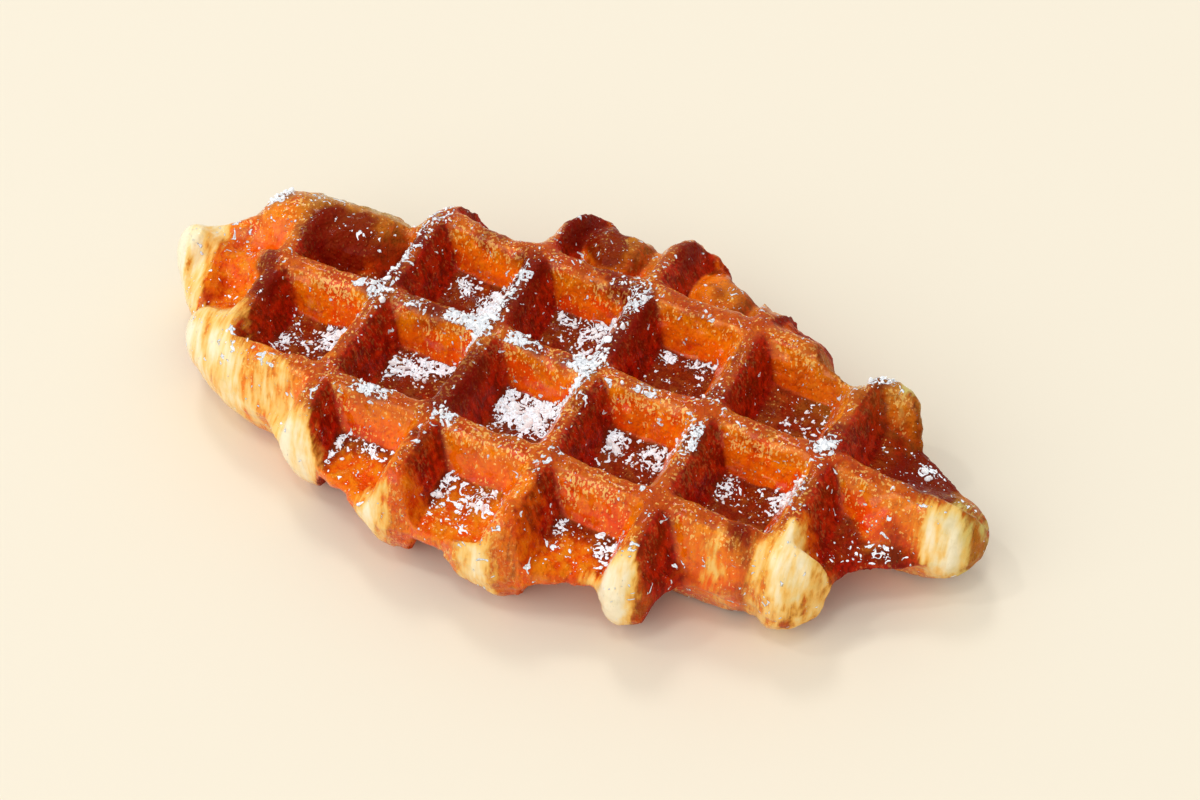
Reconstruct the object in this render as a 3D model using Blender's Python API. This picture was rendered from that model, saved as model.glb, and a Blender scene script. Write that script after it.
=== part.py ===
"""A croffle: a croissant dough roll pressed and baked in a waffle iron. One solid.

The iron gives the form: two facing plates, each with a square grid of blocks, which press
pockets into the dough and leave ridges between them. The dough doesn't fill the iron, so
round its edge the ridges end in free, rounded lobes and the pockets are open to the side.

Sizes are in millimetres and turned to metres where the mesh is made. X runs along the roll
and along one set of ridges, Y across it, and Z up. The origin is under the middle of the
object's box, on the surface that it rests on.
"""

import math

import bmesh
import bpy
from mathutils import Vector

MM = 0.001

# The iron: how far apart its ridges are, how thin it presses the dough between two pockets,
# the ridges' rounded crests and steep walls, where two ridges cross, and how many pitches
# from there to the middle of the last pocket
PITCH = 22.0
THICKNESS = 25.6
WEB = 7.2
CREST_HALF_WIDTH = 1.3
CREST_RISE = 1.0
DOME_HALF_WIDTH = 2.2
WALL_RUN = 4.2
CORNER_ROUND = 2.4
GRID_SHIFT = Vector((9.3, 0.2))
LAST_POCKET = 2.5

# The dough gets thinner towards both ends, and a ridge sags a little between two crossings
END_DROP = 2.6
END_START = 38.0
END_RUN = 42.0
CREST_SAG = 1.0

# Its edge is round from top to bottom. Towards it the pressed dough gets thinner, and a
# pocket's open side has a low lip
EDGE_ROUND = 8.5
JOIN_ROUND = 2.4
LIP_HEIGHT = 0.6
LIP_WIDTH = 1.8
LIP_INSET = 2.6
THINNER = 2.0
THINNER_RUN = 10.0

# The edge of the slab seen from above, from the blunt end along the near side to the tip
OUTLINE_STEPS = 8
OUTLINE = (
    (-82, 3),
    (-78.5, -4),
    (-73, -9.5),
    (-67, -18),
    (-57, -24.5),
    (-41, -29.5),
    (-27, -36),
    (-5, -39.5),
    (18, -38.5),
    (34, -30),
    (50, -25.5),
    (64, -14),
    (74.5, -6),
    (83, 3),
    (75, 12.5),
    (62, 19.5),
    (48, 22.5),
    (37, 28),
    (24, 35.5),
    (4, 38),
    (-7, 36),
    (-15, 29),
    (-23, 26),
    (-33, 24),
    (-44, 20.5),
    (-58, 20.5),
    (-68.5, 13.5),
    (-76.5, 7),
)

# The ends of the ridges, where the dough ran on past the slab: where, and how much farther
LOBES = (
    (-38, -29, 2.0),
    (-16.5, -37, 1.5),
    (5, -39.5, 1.5),
    (32, -33, 5.8),
    (57.4, -21, 4.8),
    (59, 22, 6.0),
    (39, 28, 5.0),
    (14, 37, 4.0),
    (-10, 36.5, 5.5),
    (-32.5, 26, 6.0),
    (-26.5, 27.5, 3.5),
)
LOBE_WIDTH = 5.4
LOBE_LENGTH = 11.0

# Places where the dough bulged out of the iron and a pocket was pressed less: x, y, radius,
# and how much less, up to 1 for no pocket at all
FILLS = (
    (-71, 12, 9.0, 0.9),
    (-60, 17, 8.5, 0.85),
    (-48, 21, 7.0, 0.8),
    (-63, -18.5, 6.5, 0.9),
    (-1.7, 33, 7.5, 0.85),
    (20, 32, 7.0, 0.5),
)

# A place where the iron's ridge left the dough between two pockets low: x, y, radius, how low
DENTS = ((-68.5, -3, 7.0, 0.7),)

# The rolled folds that the iron closed on: two ends, the radius
ROLLS = (
    ((-62, 13, 16.5), (-46.5, 16.5, 14.5), 7.5),
    ((-62, -15, 13), (-55, -19, 12.5), 6.6),
    ((-76.5, 3, 13.5), (-70.5, -6, 13), 3.8),
    ((34.5, 25, 18), (40, 25.5, 15), 4.6),
    ((66, 0, 13), (76.5, 3.5, 10.5), 6.5),
)
ROLL_BLEND = 4.0

# How uneven it is: the ridges wander, and the crust swells, less on the crests than between
WOBBLE = 1.1
WOBBLE_SIZE = 38.0
SWELL = 0.8
SWELL_SIZE = 15.0
CREST_SWELL = 0.5

# The surface is found on a grid of small cubes, thinned, and cut flat where it stands
VOXEL = 1.0
AROUND = 12.0
ABOVE = 3.0
FAR_OUTSIDE = -10.0
TRIANGLES = 11000
FOOT_CUT = 0.35


def clear_scene():
    for obj in list(bpy.data.objects):
        bpy.data.objects.remove(obj)


class Num:
    """A number that varies in space. Sums and products of it add Math nodes to its tree."""

    def __init__(self, tree, socket):
        self.tree = tree
        self.socket = socket

    def math(self, operation, *others):
        return maths(self.tree, operation, self, *others)

    def __add__(self, other):
        return self.math("ADD", other)

    def __sub__(self, other):
        return self.math("SUBTRACT", other)

    def __rsub__(self, other):
        return maths(self.tree, "SUBTRACT", other, self)

    def __mul__(self, other):
        return self.math("MULTIPLY", other)

    def __truediv__(self, other):
        return self.math("DIVIDE", other)

    def __neg__(self):
        return self * -1.0

    def __abs__(self):
        return self.math("ABSOLUTE")


def plug(tree, socket, value):
    """Gives a node's input a number, or the output that makes one."""
    if isinstance(value, Num):
        tree.links.new(value.socket, socket)
    elif isinstance(value, bpy.types.NodeSocket):
        tree.links.new(value, socket)
    else:
        socket.default_value = value


def maths(tree, operation, *values):
    node = tree.nodes.new("ShaderNodeMath")
    node.operation = operation
    for socket, value in zip(node.inputs, values):
        plug(tree, socket, value)
    return Num(tree, node.outputs[0])


def combine(tree, x, y, z):
    node = tree.nodes.new("ShaderNodeCombineXYZ")
    for socket, value in zip(node.inputs, (x, y, z)):
        plug(tree, socket, value)
    return node.outputs[0]


def noise(tree, where, size, seed):
    """Smooth noise from -1 to 1, with bumps about size across. The seed picks the pattern."""
    node = tree.nodes.new("ShaderNodeTexNoise")
    node.noise_dimensions = "4D"
    plug(tree, node.inputs["Vector"], where)
    plug(tree, node.inputs["W"], float(seed))
    plug(tree, node.inputs["Scale"], 1.0 / size)
    plug(tree, node.inputs["Detail"], 1.0)
    return Num(tree, node.outputs["Fac"]) * 2.0 - 1.0


def ease(tree, value):
    """A smooth step from 0 to 1 as value goes from 0 to 1."""
    node = tree.nodes.new("ShaderNodeMapRange")
    node.interpolation_type = "SMOOTHSTEP"
    plug(tree, node.inputs["Value"], value)
    return Num(tree, node.outputs["Result"])


def distance_to(tree, geometry, element, where):
    node = tree.nodes.new("GeometryNodeProximity")
    node.target_element = element
    plug(tree, node.inputs[0], geometry)
    plug(tree, node.inputs["Sample Position"], where)
    return Num(tree, node.outputs["Distance"])


def line_distance(coordinate, shift):
    """How far a place is from the nearest of the lines that lie one pitch apart."""
    return coordinate.math("SUBTRACT", shift).math("PINGPONG", PITCH / 2)


def square(value):
    return value * value


def roll_distance(tree, place, start, end):
    """How far a place is from the straight middle line of a roll."""
    line = tree.nodes.new("GeometryNodeMeshLine")
    line.mode = "END_POINTS"
    plug(tree, line.inputs["Count"], 2)
    plug(tree, line.inputs["Start Location"], start)
    plug(tree, line.inputs["Offset"], end)
    return distance_to(tree, line.outputs[0], "EDGES", place)


def dough_field(tree, outline):
    """Positive inside the pastry and negative outside it, in millimetres, roughly its depth."""
    position = tree.nodes.new("GeometryNodeInputPosition")
    split = tree.nodes.new("ShaderNodeSeparateXYZ")
    tree.links.new(position.outputs[0], split.inputs[0])
    x, y, z = (Num(tree, output) for output in split.outputs)
    flat = combine(tree, x, y, 0.0)
    swell = noise(tree, position.outputs[0], SWELL_SIZE, 3) * SWELL

    end = ease(tree, (abs(x) - END_START) / END_RUN)
    half_height = THICKNESS / 2 - end * (END_DROP / 2)
    from_middle = abs(z - half_height)

    grid_x = x + noise(tree, flat, WOBBLE_SIZE, 1) * WOBBLE
    grid_y = y + noise(tree, flat, WOBBLE_SIZE, 2) * WOBBLE
    grid_x = grid_x.math("MINIMUM", GRID_SHIFT.x + LAST_POCKET * PITCH)
    across = line_distance(grid_x, GRID_SHIFT.x)
    along = line_distance(grid_y, GRID_SHIFT.y)
    to_ridge = across.math("SMOOTH_MIN", along, CORNER_ROUND)
    to_crossing = across.math("MAXIMUM", along) / (PITCH / 2)
    wall = ease(tree, (to_ridge - CREST_HALF_WIDTH) / WALL_RUN)
    for fill_x, fill_y, radius, amount in FILLS:
        away = (square(x - fill_x) + square(y - fill_y)) / (radius * radius)
        wall = wall * (1.0 - (-square(away)).math("EXPONENT") * amount)
    for dent_x, dent_y, radius, amount in DENTS:
        away = (square(x - dent_x) + square(y - dent_y)) / (radius * radius)
        wall = wall + (1.0 - wall) * (-square(away)).math("EXPONENT") * amount
    to_slab = distance_to(tree, outline, "FACES", flat)
    to_edge = distance_to(tree, outline, "EDGES", flat)
    outside = to_slab * 2.0 - to_edge
    for lobe_x, lobe_y, farther in LOBES:
        away = square((x - lobe_x) / LOBE_WIDTH) + square((y - lobe_y) / LOBE_LENGTH)
        outside = outside - (-square(away)).math("EXPONENT") * farther
    lip = (-square((outside + LIP_INSET) / LIP_WIDTH)).math("EXPONENT") * LIP_HEIGHT
    dome = square(to_ridge / DOME_HALF_WIDTH).math("MINIMUM", 1.0) * CREST_RISE
    sag = square(to_crossing) * CREST_SAG
    thinner = ease(tree, outside / THINNER_RUN + 1.0) * THINNER
    press = wall * (half_height - WEB / 2 - CREST_RISE - lip + thinner) + dome + sag
    iron = from_middle - (half_height - press) - swell * (wall + CREST_SWELL)

    inset = (outside + EDGE_ROUND).math("MAXIMUM", 0.0) / EDGE_ROUND
    height = from_middle / half_height
    side = ((inset * inset + height * height).math("SQRT") - 1.0) * EDGE_ROUND

    solid = iron.math("SMOOTH_MAX", side, JOIN_ROUND)
    for start, end, radius in ROLLS:
        roll = roll_distance(tree, position.outputs[0], start, end) - radius
        solid = solid.math("SMOOTH_MIN", roll, ROLL_BLEND)
    return -solid


def pastry_nodes():
    """Turns a flat outline into the pastry: a volume from the field above, then its surface."""
    tree = bpy.data.node_groups.new("waffle_pressed_dough", "GeometryNodeTree")
    tree.interface.new_socket("Outline", in_out="INPUT", socket_type="NodeSocketGeometry")
    tree.interface.new_socket("Pastry", in_out="OUTPUT", socket_type="NodeSocketGeometry")
    start = tree.nodes.new("NodeGroupInput")
    end = tree.nodes.new("NodeGroupOutput")

    low = [min(p[i] for p in OUTLINE) - AROUND for i in (0, 1)] + [-ABOVE]
    high = [max(p[i] for p in OUTLINE) + AROUND for i in (0, 1)] + [THICKNESS + ABOVE]
    cube = tree.nodes.new("GeometryNodeVolumeCube")
    plug(tree, cube.inputs["Density"], dough_field(tree, start.outputs[0]))
    plug(tree, cube.inputs["Background"], FAR_OUTSIDE)
    plug(tree, cube.inputs["Min"], low)
    plug(tree, cube.inputs["Max"], high)
    for i, axis in enumerate("XYZ"):
        plug(tree, cube.inputs[f"Resolution {axis}"], math.ceil((high[i] - low[i]) / VOXEL))

    skin = tree.nodes.new("GeometryNodeVolumeToMesh")
    skin.resolution_mode = "GRID"
    plug(tree, skin.inputs["Volume"], cube.outputs[0])
    plug(tree, skin.inputs["Threshold"], 0.0)

    to_metres = tree.nodes.new("GeometryNodeTransform")
    plug(tree, to_metres.inputs["Geometry"], skin.outputs[0])
    plug(tree, to_metres.inputs["Scale"], (MM, MM, MM))
    tree.links.new(to_metres.outputs[0], end.inputs[0])
    return tree


def flat_outline(name):
    """The roll's outline seen from above: one smooth closed curve, filled with a single face."""
    curve = bpy.data.curves.new("outline", "CURVE")
    curve.dimensions = "2D"
    curve.fill_mode = "NONE"
    curve.resolution_u = OUTLINE_STEPS
    spline = curve.splines.new("BEZIER")
    spline.bezier_points.add(len(OUTLINE) - 1)
    for point, (x, y) in zip(spline.bezier_points, OUTLINE):
        point.co = (x, y, 0.0)
        point.handle_left_type = point.handle_right_type = "AUTO"
    spline.use_cyclic_u = True
    drawn = bpy.data.objects.new("outline", curve)
    bpy.context.scene.collection.objects.link(drawn)
    mesh = evaluated(drawn)
    bpy.data.objects.remove(drawn)
    shape = bmesh.new()
    shape.from_mesh(mesh)
    bmesh.ops.contextual_create(shape, geom=shape.edges[:])
    shape.to_mesh(mesh)
    shape.free()
    mesh.name = name
    return bpy.data.objects.new(name, mesh)


def baked_crust():
    material = bpy.data.materials.new("baked_crust")
    material.use_nodes = True
    shader = material.node_tree.nodes["Principled BSDF"]
    shader.inputs["Base Color"].default_value = (0.55, 0.17, 0.025, 1.0)
    shader.inputs["Roughness"].default_value = 0.38
    shader.inputs["Metallic"].default_value = 0.0
    return material


def evaluated(obj):
    graph = bpy.context.evaluated_depsgraph_get()
    return bpy.data.meshes.new_from_object(obj.evaluated_get(graph))


def triangle_count(mesh):
    mesh.calc_loop_triangles()
    return len(mesh.loop_triangles)


def build():
    clear_scene()
    parts = bpy.data.collections.new("croffle")
    bpy.context.scene.collection.children.link(parts)

    pastry = flat_outline("croffle")
    parts.objects.link(pastry)
    press = pastry.modifiers.new("press", "NODES")
    press.node_group = pastry_nodes()

    fine = evaluated(pastry)
    thin = pastry.modifiers.new("thin", "DECIMATE")
    thin.ratio = TRIANGLES / triangle_count(fine)
    mesh = evaluated(pastry)
    pastry.modifiers.clear()
    pastry.data = mesh

    low = Vector(min(v.co[i] for v in mesh.vertices) for i in range(3))
    high = Vector(max(v.co[i] for v in mesh.vertices) for i in range(3))
    foot = low.z + FOOT_CUT * MM
    shape = bmesh.new()
    shape.from_mesh(mesh)
    cut = bmesh.ops.bisect_plane(
        shape,
        geom=shape.verts[:] + shape.edges[:] + shape.faces[:],
        plane_co=(0, 0, foot),
        plane_no=(0, 0, -1),
        clear_outer=True,
    )
    rim = [e for e in cut["geom_cut"] if isinstance(e, bmesh.types.BMEdge)]
    bmesh.ops.holes_fill(shape, edges=rim)
    middle = (low + high) / 2
    bmesh.ops.translate(shape, verts=shape.verts, vec=(-middle.x, -middle.y, -foot))
    bmesh.ops.triangulate(shape, faces=shape.faces)
    shape.to_mesh(mesh)
    shape.free()
    mesh.shade_smooth()
    mesh.materials.clear()
    mesh.materials.append(baked_crust())
    print("moved by", -middle.x / MM, -middle.y / MM, -foot / MM, "mm")


build()
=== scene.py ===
# %% [markdown]
# # Dressing a croffle
#
# A croffle is a rolled piece of croissant dough that a waffle iron pressed flat and baked. The
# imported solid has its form: square pockets, ridges between them, and rounded ridge ends where the
# dough ran on past the slab. This notebook makes the same form again on a finer grid, adds the
# relief that is too small for the solid, dusts it with icing sugar, and lights it.

# %% Load the frame
import math

import bmesh
import bpy
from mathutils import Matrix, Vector


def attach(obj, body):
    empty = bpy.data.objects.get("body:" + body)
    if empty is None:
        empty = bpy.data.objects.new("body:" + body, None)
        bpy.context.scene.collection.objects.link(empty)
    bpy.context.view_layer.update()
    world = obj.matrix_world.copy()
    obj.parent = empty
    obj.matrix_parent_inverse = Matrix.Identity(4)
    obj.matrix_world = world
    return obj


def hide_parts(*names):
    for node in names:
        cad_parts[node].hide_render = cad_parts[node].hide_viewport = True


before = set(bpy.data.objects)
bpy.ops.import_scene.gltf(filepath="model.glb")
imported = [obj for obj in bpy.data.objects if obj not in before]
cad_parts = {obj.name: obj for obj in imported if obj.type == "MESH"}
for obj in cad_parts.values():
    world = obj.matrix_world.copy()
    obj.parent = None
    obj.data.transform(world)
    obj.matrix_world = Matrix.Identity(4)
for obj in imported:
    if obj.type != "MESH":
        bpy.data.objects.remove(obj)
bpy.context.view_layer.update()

# %% [markdown]
# ## Sizes
#
# These are the solid's own sizes, in millimetres. The iron's grid repeats every 22 mm. The outline
# is the edge of the pressed slab, and each lobe says where a ridge ran on and how much farther.
# Rolls are folds of dough that the iron closed on. `MOVE` brings the middle of the box to the
# origin, as in the solid.

# %% Sizes of the iron and the dough
MM = 0.001
MOVE = Vector((-0.708, -0.059, -0.746))

PITCH = 22.0
THICKNESS = 25.6
WEB = 7.2
CREST_HALF_WIDTH = 1.3
CREST_RISE = 1.0
DOME_HALF_WIDTH = 2.2
WALL_RUN = 4.2
CORNER_ROUND = 2.4
GRID_SHIFT = Vector((9.3, 0.2))
LAST_POCKET = 2.5
END_DROP = 2.6
END_START = 38.0
END_RUN = 42.0
CREST_SAG = 1.0
EDGE_ROUND = 8.5
JOIN_ROUND = 2.4
LIP_HEIGHT = 0.6
LIP_WIDTH = 1.8
LIP_INSET = 2.6
THINNER = 2.0
THINNER_RUN = 10.0
OUTLINE_STEPS = 8
OUTLINE = (
    (-82, 3), (-78.5, -4), (-73, -9.5), (-67, -18), (-57, -24.5), (-41, -29.5), (-27, -36), (-5, -39.5),
    (18, -38.5), (34, -30), (50, -25.5), (64, -14), (74.5, -6), (83, 3), (75, 12.5),
    (62, 19.5), (48, 22.5), (37, 28), (24, 35.5), (4, 38), (-7, 36), (-15, 29),
    (-23, 26), (-33, 24), (-44, 20.5), (-58, 20.5), (-68.5, 13.5), (-76.5, 7),
)
LOBES = (
    (-38, -29, 2.0), (-16.5, -37, 1.5), (5, -39.5, 1.5), (32, -33, 5.8), (57.4, -21, 4.8),
    (59, 22, 6.0), (39, 28, 5.0), (14, 37, 4.0), (-10, 36.5, 5.5), (-32.5, 26, 6.0),
    (-26.5, 27.5, 3.5),
)
LOBE_WIDTH = 5.4
LOBE_LENGTH = 11.0
FILLS = (
    (-71, 12, 9.0, 0.9), (-60, 17, 8.5, 0.85), (-48, 21, 7.0, 0.8), (-63, -18.5, 6.5, 0.9),
    (-1.7, 33, 7.5, 0.85), (20, 32, 7.0, 0.5),
)
DENTS = ((-68.5, -3, 7.0, 0.7),)
ROLLS = (
    ((-62, 13, 16.5), (-46.5, 16.5, 14.5), 7.5), ((-62, -15, 13), (-55, -19, 12.5), 6.6),
    ((-76.5, 3, 13.5), (-70.5, -6, 13), 3.8), ((34.5, 25, 18), (40, 25.5, 15), 4.6),
    ((66, 0, 13), (76.5, 3.5, 10.5), 6.5),
)
ROLL_BLEND = 4.0
WOBBLE = 1.1
WOBBLE_SIZE = 38.0
SWELL = 0.8
SWELL_SIZE = 15.0
CREST_SWELL = 0.5
AROUND = 12.0
ABOVE = 3.0
FAR_OUTSIDE = -10.0
CROSSWISE_RUN = PITCH / 5
FREE_FROM = 0.6
FREE_FULL = 3.4

# %% [markdown]
# ## Writing node trees as sums
#
# The form, the relief and the colours are all worked out by nodes. A tree with hundreds of Math
# nodes is hard to read as a list of links, so `Num` lets it be written as ordinary sums: each `+`,
# `-`, `*` or `/` adds one Math node. It works alike in geometry trees and in shader trees.


# %% A number inside a node tree
class Num:
    """A number that varies in space, as the output of a node."""

    def __init__(self, tree, socket):
        self.tree = tree
        self.socket = socket

    def math(self, operation, *others):
        return maths(self.tree, operation, self, *others)

    def __add__(self, other):
        return self.math("ADD", other)

    def __sub__(self, other):
        return self.math("SUBTRACT", other)

    def __rsub__(self, other):
        return maths(self.tree, "SUBTRACT", other, self)

    def __mul__(self, other):
        return self.math("MULTIPLY", other)

    def __truediv__(self, other):
        return self.math("DIVIDE", other)

    def __neg__(self):
        return self * -1.0

    def __abs__(self):
        return self.math("ABSOLUTE")


def plug(tree, socket, value):
    """Gives a node's input a number, or the output that makes one."""
    if isinstance(value, Num):
        tree.links.new(value.socket, socket)
    elif isinstance(value, bpy.types.NodeSocket):
        tree.links.new(value, socket)
    else:
        socket.default_value = value


def maths(tree, operation, *values):
    node = tree.nodes.new("ShaderNodeMath")
    node.operation = operation
    for socket, value in zip(node.inputs, values):
        plug(tree, socket, value)
    return Num(tree, node.outputs[0])


def combine(tree, x, y, z):
    node = tree.nodes.new("ShaderNodeCombineXYZ")
    for socket, value in zip(node.inputs, (x, y, z)):
        plug(tree, socket, value)
    return node.outputs[0]


def separate(tree, vector):
    node = tree.nodes.new("ShaderNodeSeparateXYZ")
    tree.links.new(vector, node.inputs[0])
    return [Num(tree, output) for output in node.outputs]


def noise(tree, where, size, seed, detail=1.0, distortion=0.0):
    """Smooth noise from -1 to 1, with bumps about size across. The seed picks the pattern."""
    node = tree.nodes.new("ShaderNodeTexNoise")
    node.noise_dimensions = "4D"
    plug(tree, node.inputs["Vector"], where)
    plug(tree, node.inputs["W"], seed)
    plug(tree, node.inputs["Scale"], 1.0 / size)
    plug(tree, node.inputs["Detail"], detail)
    plug(tree, node.inputs["Distortion"], distortion)
    return Num(tree, node.outputs["Fac"]) * 2.0 - 1.0


def rough(tree, where, size, seed, detail=1.0, distortion=0.0):
    """The same noise spread out, so that about a third of it is beyond -0.4 and 0.4."""
    return noise(tree, where, size, seed, detail, distortion) * 2.6


def ease(tree, value, start=0.0, end=1.0):
    """A smooth step from 0 to 1 as value goes from start to end."""
    node = tree.nodes.new("ShaderNodeMapRange")
    node.interpolation_type = "SMOOTHSTEP"
    plug(tree, node.inputs["Value"], value)
    plug(tree, node.inputs["From Min"], start)
    plug(tree, node.inputs["From Max"], end)
    return Num(tree, node.outputs["Result"])


def square(value):
    return value * value


print("node helpers ready")

# %% [markdown]
# ## The form, as a distance
#
# The pastry is where a number that varies in space is positive. `iron` says how far a place is
# above the pressed surface: it takes the distance to the nearest ridge line, and eases from the
# crest down to the pocket's floor. `side` is the round edge of the dough. The larger of the two,
# joined smoothly, is the pastry, and the rolls are added to it. Working this way needs no Boolean,
# and the same numbers later say which surface touched the iron and which stayed free. `crosswise`
# is 1 near the ridges that run across the roll, which the iron browned more than the others.


# %% The dough's distance field
def distance_to(tree, geometry, element, where):
    node = tree.nodes.new("GeometryNodeProximity")
    node.target_element = element
    plug(tree, node.inputs[0], geometry)
    plug(tree, node.inputs["Sample Position"], where)
    return Num(tree, node.outputs["Distance"])


def line_distance(coordinate, shift):
    """How far a place is from the nearest of the lines that lie one pitch apart."""
    return coordinate.math("SUBTRACT", shift).math("PINGPONG", PITCH / 2)


def roll_distance(tree, place, start, end):
    """How far a place is from the straight middle line of a roll."""
    line = tree.nodes.new("GeometryNodeMeshLine")
    line.mode = "END_POINTS"
    plug(tree, line.inputs["Count"], 2)
    plug(tree, line.inputs["Start Location"], start)
    plug(tree, line.inputs["Offset"], end)
    return distance_to(tree, line.outputs[0], "EDGES", place)


def dough_field(tree, outline):
    """The pastry's distance and the numbers that the relief and the colours need again."""
    place = tree.nodes.new("GeometryNodeInputPosition").outputs[0]
    x, y, z = separate(tree, place)
    flat = combine(tree, x, y, 0.0)
    swell = noise(tree, place, SWELL_SIZE, 3.0) * SWELL

    end = ease(tree, (abs(x) - END_START) / END_RUN)
    half_height = THICKNESS / 2 - end * (END_DROP / 2)
    from_middle = abs(z - half_height)

    grid_x = x + noise(tree, flat, WOBBLE_SIZE, 1.0) * WOBBLE
    grid_y = y + noise(tree, flat, WOBBLE_SIZE, 2.0) * WOBBLE
    grid_x = grid_x.math("MINIMUM", GRID_SHIFT.x + LAST_POCKET * PITCH)
    across = line_distance(grid_x, GRID_SHIFT.x)
    along = line_distance(grid_y, GRID_SHIFT.y)
    to_ridge = across.math("SMOOTH_MIN", along, CORNER_ROUND)
    crosswise = ease(tree, (along - across) / CROSSWISE_RUN)
    to_crossing = across.math("MAXIMUM", along) / (PITCH / 2)
    wall = ease(tree, (to_ridge - CREST_HALF_WIDTH) / WALL_RUN)
    for fill_x, fill_y, radius, amount in FILLS:
        away = (square(x - fill_x) + square(y - fill_y)) / (radius * radius)
        wall = wall * (1.0 - (-square(away)).math("EXPONENT") * amount)
    for dent_x, dent_y, radius, amount in DENTS:
        away = (square(x - dent_x) + square(y - dent_y)) / (radius * radius)
        wall = wall + (1.0 - wall) * (-square(away)).math("EXPONENT") * amount
    to_slab = distance_to(tree, outline, "FACES", flat)
    to_edge = distance_to(tree, outline, "EDGES", flat)
    outside = to_slab * 2.0 - to_edge
    for lobe_x, lobe_y, farther in LOBES:
        away = square((x - lobe_x) / LOBE_WIDTH) + square((y - lobe_y) / LOBE_LENGTH)
        outside = outside - (-square(away)).math("EXPONENT") * farther
    lip = (-square((outside + LIP_INSET) / LIP_WIDTH)).math("EXPONENT") * LIP_HEIGHT
    dome = square(to_ridge / DOME_HALF_WIDTH).math("MINIMUM", 1.0) * CREST_RISE
    sag = square(to_crossing) * CREST_SAG
    thinner = ease(tree, outside / THINNER_RUN + 1.0) * THINNER
    press = wall * (half_height - WEB / 2 - CREST_RISE - lip + thinner) + dome + sag
    iron = from_middle - (half_height - press) - swell * (wall + CREST_SWELL)

    inset = (outside + EDGE_ROUND).math("MAXIMUM", 0.0) / EDGE_ROUND
    height = from_middle / half_height
    side = ((inset * inset + height * height).math("SQRT") - 1.0) * EDGE_ROUND

    solid = iron.math("SMOOTH_MAX", side, JOIN_ROUND)
    for start, end, radius in ROLLS:
        roll = roll_distance(tree, place, start, end) - radius
        solid = solid.math("SMOOTH_MIN", roll, ROLL_BLEND)
    return {
        "place": place, "x": x, "y": y, "z": z, "solid": solid, "wall": wall, "outside": outside,
        "crosswise": crosswise, "free": ease(tree, iron * -1.0, FREE_FROM, FREE_FULL),
    }


print("field described by", len(OUTLINE), "outline points and", len(LOBES), "lobes")

# %% [markdown]
# ## Where it is pale, toasted and greenish, and where the sugar fell
#
# The iron's plates brown what they touch. The free ends of the ridges stay pale, as at the front
# and at both tips. At the back the ridge ends are toasted dark, and the rolled edge is olive gold.
# Sugar lies thick in some pockets and on some crests. Each spot is a place seen from above, a
# radius and an amount, in millimetres from the middle of the croffle.

# %% Spots on the plan: x, y, radius, amount
PALE = (
    (-40, -31.5, 4.6, 1.5), (-33, -34.5, 3, 1.0), (-18, -38.5, 4.2, 1.3), (4.5, -41.5, 3.6, 1.2),
    (28, -37.5, 4.6, 1.8), (56, -22.5, 5.4, 2.0), (54.5, -17.5, 3, 1.0), (77.5, -3.5, 6, 1.7),
    (81, 7, 4.5, 1.0), (-76, -8, 7, 1.5), (-68.5, -19, 5.2, 1.5), (-59, -22.5, 5.5, 0.9),
    (-58, -19, 4, 0.6), (-59, -14, 3, 1.2), (-81, 0, 7, 2.2), (-80, 9, 5.5, 1.6), (-76.5, 0.5, 4, 1.4),
    (60, 24, 5, 0.9), (-49, -27, 5, 1.0), (-67.5, -4, 5, -2.6), (66, -14, 5, -0.8), (-61, 15, 4, -0.7),
    (-44, -25.5, 3, 0.7), (61.5, -18.5, 4, 1.3), (43, -25.2, 3, 0.9), (-36, -33.5, 3.5, 0.5),
    (-54, -27, 4, 0.5), (75.5, -4, 3.5, 0.6), (-75, -6.5, 4, 1.1), (-66.5, -16, 3, 0.7),
    (30, -35.5, 3, 0.8),
)
TOASTED = (
    (-9, 33, 6, 1.4), (-7, 39, 7, 1.2), (12.5, 35, 6, 1.0), (36, 29, 6, 0.9), (39, 33, 6, 0.8),
    (-34, 30, 5, 0.8), (-52.5, 10.5, 5, 2.6), (-48, 11.5, 4, 1.1), (66, 9, 6, 1.9), (72, 7, 5, 1.6),
    (67, 15, 4.5, 1.8), (71, 13, 4, 1.8), (7, 16, 6, 1.0), (7, 6, 5.5, 0.8), (-14.5, 17, 6, 0.9),
    (-14.5, 7, 6, 0.8), (-36.5, 15, 5.5, 0.8), (-36.5, 4, 5.5, 0.8), (-25, 1, 5.5, 0.7),
    (-60, -2, 4, 0.9), (-56.5, -8, 4, 0.9), (-13.5, -8, 4.5, 0.8), (-13.5, -14, 4.5, 1.0),
    (-13.5, -20, 4, 0.7), (-3, 1, 5.5, 0.6), (29, 4, 5, 0.7), (29, 14, 4, 0.6), (51, 6, 5, 0.7),
    (68, -11, 5, 0.5), (20, 22, 5, 0.4), (0, 23, 6, 0.6), (40, 1, 5, 0.4), (-25, 22, 5, 0.5),
    (46, -22, 3.5, 0.8), (-48.5, 14, 4, 0.9), (-13.8, -27.5, 3, 0.75), (13.3, -39, 3, 0.75),
    (-4, 29, 4, 1.0), (20, 30.5, 4, 0.9), (9, -8, 4, 0.7), (-43, 13, 3.5, 0.8),
)
WARM = (
    (-68, -3, 5.5, 1.5), (-69, 2, 4, 1.0), (-23, -35, 7, 1.2), (-1, -35, 8, 1.2), (20, -35, 7, 1.1),
    (-63, 11, 4, 0.6), (43, -27, 7, 0.6), (68, -5, 5, 0.4), (11, -38.5, 3.5, 1.0),
    (-11.5, -38, 3.5, 1.2), (-65, -13, 4, 0.8), (8, -29, 3.5, 0.7), (-14.5, -27, 3.5, 0.7),
    (55, -15, 3.5, 0.9), (-50.5, -2.5, 4, 0.6), (-49, -21, 3.5, 0.8),
)
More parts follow.
